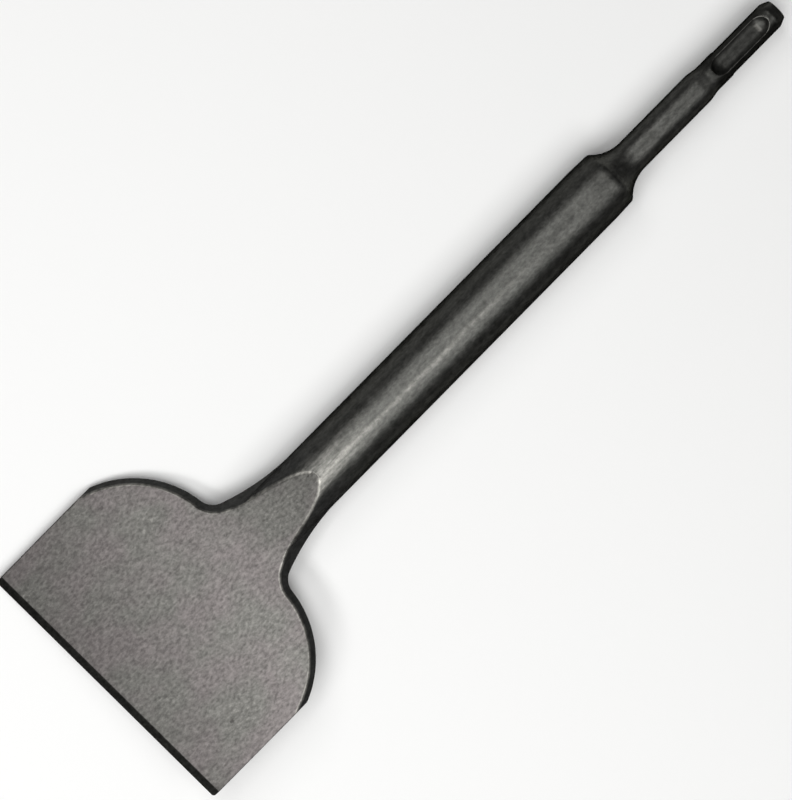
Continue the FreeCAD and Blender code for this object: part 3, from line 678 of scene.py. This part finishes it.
    # Colour: the bar's two tones, the face's two, then what lies over them.
    start, end = s["streakRange"]
    share = addNode(tree, "ShaderNodeMapRange", {0: streak, 1: start, 2: end})
    barTone = addNode(tree, "ShaderNodeMix", {
        "Factor": share, "A": toLinear(s["barDark"]), "B": toLinear(s["bar"])}, data_type="RGBA")
    start, end = s["patchRange"]
    share = addNode(tree, "ShaderNodeMapRange", {0: patch, 1: start, 2: end})
    faceTone = addNode(tree, "ShaderNodeMix", {
        "Factor": share, "A": toLinear(s["faceWarm"]), "B": toLinear(s["faceCool"])}, data_type="RGBA")
    tone = barTone
    # Over them: the rim's colour, partly painted shade, and the bare colour, partly painted highlight.
    for mask, over in ((onFace, faceTone), (onRim, toLinear(s["rim"])), (bareAndHighlight, toLinear(s["rubbedAndHighlight"])),
                       (onBevel, toLinear(s["bevel"])), (pit, toLinear(s["pit"]))):
        tone = addNode(tree, "ShaderNodeMix", {"Factor": mask, "A": tone, "B": over}, data_type="RGBA")

    # Shade: grain and mottle, weaker on the bar.
    low, high = s["noiseRange"]
    fine, coarse = (
        addNode(tree, "ShaderNodeMapRange", {0: noise, 1: low, 2: high, 3: 1 - spread, 4: 1 + spread})
        for noise, spread in ((grain, s["grainContrast"]), (mottle, s["mottleContrast"])))
    shade = addNode(tree, "ShaderNodeMath", {0: fine, 1: coarse}, operation="MULTIPLY")
    share = addNode(tree, "ShaderNodeMapRange", {0: onFace, 3: s["barContrast"]})
    shade = addNode(tree, "ShaderNodeMix", {"Factor": share, "A": 1.0, "B": shade})

    # Painted shade on the bar's flanks, where the surface turns to the tool's own side.
    sideways = (0, math.cos(restRoll()), math.sin(restRoll()))
    normal = addNode(tree, "ShaderNodeTexCoord", give="Normal")
    turned = addNode(tree, "ShaderNodeVectorMath", {0: normal, 1: sideways}, "Value",
                     operation="DOT_PRODUCT")
    turned = addNode(tree, "ShaderNodeMath", {0: turned}, operation="ABSOLUTE")
    start, end = s["flankRange"]
    flanks = addNode(tree, "ShaderNodeMapRange", {0: turned, 1: start, 2: end, 3: 1, 4: s["paintedFlankShade"]})
    for mask in (onFace, onRim):
        flanks = addNode(tree, "ShaderNodeMix", {"Factor": mask, "A": flanks, "B": 1.0})

    # Painted shade and light on the face: edge to throat, on to the tip, and side to side.
    tongueX, throatX = (x * mm for x in s["throatAt"])
    half = chisel["bladeHalfWidth"] * mm
    blade = addNode(tree, "ShaderNodeMapRange", {
        0: along, 1: chisel["length"] * mm, 2: throatX, 3: s["paintedEdgeShade"], 4: s["paintedThroatLight"]})
    towardsTip = addNode(tree, "ShaderNodeMapRange", {
        0: along, 1: tongueX, 2: tip * mm, 3: 1, 4: s["paintedTipShade"] / s["paintedThroatLight"]})
    sides = addNode(tree, "ShaderNodeMapRange", {
        0: aside, 1: -half, 2: half, 3: 1 - s["paintedSideShade"], 4: 1 + s["paintedSideShade"]})
    for part in (towardsTip, sides):
        blade = addNode(tree, "ShaderNodeMath", {0: blade, 1: part}, operation="MULTIPLY")
    blade = addNode(tree, "ShaderNodeMix", {"Factor": onFace, "A": 1.0, "B": blade})

    # The shank, darker, and painted light at the end that is struck.
    shank, endLight = (
        addNode(tree, "ShaderNodeMapRange", {0: along, 1: start * mm, 2: end * mm, 3: 1, 4: level})
        for (start, end), level in ((s["shankFade"], s["shankShade"]), (s["paintedEndLightFade"], s["paintedEndLight"])))
    for part in (flanks, blade, shank, endLight):
        shade = addNode(tree, "ShaderNodeMath", {0: shade, 1: part}, operation="MULTIPLY")
    tone = addNode(tree, "ShaderNodeMix", {"Factor": 1.0, "A": tone, "B": shade}, data_type="RGBA",
                   blend_type="MULTIPLY")
    tree.links.new(tone, shader.inputs["Base Color"])

    # Roughness by place, a little uneven with the mottle.
    rough = addNode(tree, "ShaderNodeMix", {"Factor": onFace, "A": s["roughBar"], "B": s["roughFace"]})
    rough = addNode(tree, "ShaderNodeMix", {"Factor": onRim, "A": rough, "B": s["roughRim"]})
    uneven = addNode(tree, "ShaderNodeMapRange", {
        0: mottle, 1: low, 2: high, 3: -s["roughSpread"], 4: s["roughSpread"]})
    rough = addNode(tree, "ShaderNodeMath", {0: rough, 1: uneven}, operation="ADD")
    tree.links.new(rough, shader.inputs["Roughness"])

    # Heights in mm; the bump's distance of a millimetre makes them real.
    height = 0
    for pattern, rise in ((grain, s["grainHeight"]), (mottle, s["mottleHeight"]), (pit, -s["pitDepth"])):
        height = addNode(tree, "ShaderNodeMath", {0: pattern, 1: rise, 2: height}, operation="MULTIPLY_ADD")
    relief = addNode(tree, "ShaderNodeMapRange", {0: onFace, 3: s["barRelief"]})
    bump = addNode(tree, "ShaderNodeBump", {"Strength": relief, "Height": height, "Distance": mm})
    tree.links.new(bump, shader.inputs["Normal"])
    return material


x, y, z, marks = chiselGrid()
roll = restRoll()
skin = makeSkin("forgedChisel", x, y, z, marks, roll)
skin.data.materials.append(forgedSteel())
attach(skin, "root")
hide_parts("flat_chisel")
print("chisel made, roll", round(math.degrees(roll), 2), "degrees")

# The floor is a pale sheet of paper just under the tool. Distances in metres.
paper = {
    "colour": "#fbfbfa",
    "roughness": 0.9,
    "gloss": 0.1,
    "from": (-2.0, -2.0),
    "to": (2.3, 2.0),
}

level = cadBox[0][2]
(x0, y0), (x1, y1) = paper["from"], paper["to"]
floorMesh = bpy.data.meshes.new("paperFloor")
floorMesh.from_pydata([(x0, y0, level), (x1, y0, level), (x1, y1, level), (x0, y1, level)],
                      [], [(0, 1, 2, 3)])
floorPiece = bpy.data.objects.new("paperFloor", floorMesh)
bpy.context.scene.collection.objects.link(floorPiece)
whitePaper = bpy.data.materials.new("whitePaper")
whitePaper.use_nodes = True
paperShader = whitePaper.node_tree.nodes["Principled BSDF"]
paperShader.inputs["Base Color"].default_value = toLinear(paper["colour"])
paperShader.inputs["Roughness"].default_value = paper["roughness"]
paperShader.inputs["Specular IOR Level"].default_value = paper["gloss"]
floorMesh.materials.append(whitePaper)

# Soft boxes that hang level over the bench: a long one across the tool just past its
# edge, one further in front of it, one beside it and a weak one behind the shank.
# Centres and sizes in metres.
lamps = {
    "longBox": {"at": (0.35, 0.17, 1.0), "size": (0.3, 1.3), "radiance": 5.5},
    "frontBox": {"at": (0.95, -0.05, 1.0), "size": (0.3, 0.65), "radiance": 8.6},
    "sideBox": {"at": (0.05, -0.78, 1.0), "size": (0.3, 0.75), "radiance": 4.6},
    "shankBox": {"at": (-0.1, 0.43, 1.0), "size": (0.6, 0.7), "radiance": 1.3},
}
for name, lamp in lamps.items():
    light = bpy.data.lights.new(name, "AREA")
    light.shape = "RECTANGLE"
    light.size, light.size_y = lamp["size"]
    light.energy = lamp["radiance"] * math.pi * lamp["size"][0] * lamp["size"][1]
    lit = bpy.data.objects.new(name, light)
    lit.location = lamp["at"]
    bpy.context.scene.collection.objects.link(lit)

surround = {"colour": (1, 1, 1, 1), "strength": 0.05}
world = bpy.data.worlds.new("dimStudio")
world.use_nodes = True
world.node_tree.nodes["Background"].inputs["Color"].default_value = surround["colour"]
world.node_tree.nodes["Background"].inputs["Strength"].default_value = surround["strength"]
bpy.context.scene.world = world
print("floor, lamps and world made")

# The camera looks square at the blade's face, which leans with the tool. Places and
# directions lie in the face's own plane, in metres; the lens and its film are in mm.
view = {
    "lens": 120,
    "film": 36,
    "span": 0.2513,           # height of the picture at the tool
    "centre": (0.1711, 0.0012),
    "right": (-0.70237, 0.71181),
    "up": (-0.71181, -0.70237),
}

camera = bpy.data.cameras.new("camera")
camera.lens = view["lens"]
camera.sensor_width = view["film"]
cameraPiece = bpy.data.objects.new("camera", camera)
lean = Matrix.Rotation(roll, 3, "X")
right, up, centre = (lean @ Vector((*view[name], 0)) for name in ("right", "up", "centre"))
back = lean @ Vector((0, 0, 1))
distance = view["span"] * view["lens"] / view["film"]
spot = centre + back * distance
cameraPiece.matrix_world = Matrix(((right.x, up.x, back.x, spot.x), (right.y, up.y, back.y, spot.y),
                                   (right.z, up.z, back.z, spot.z), (0, 0, 0, 1)))
bpy.context.scene.collection.objects.link(cameraPiece)
bpy.context.scene.camera = cameraPiece
bpy.context.scene.view_settings.view_transform = "Standard"
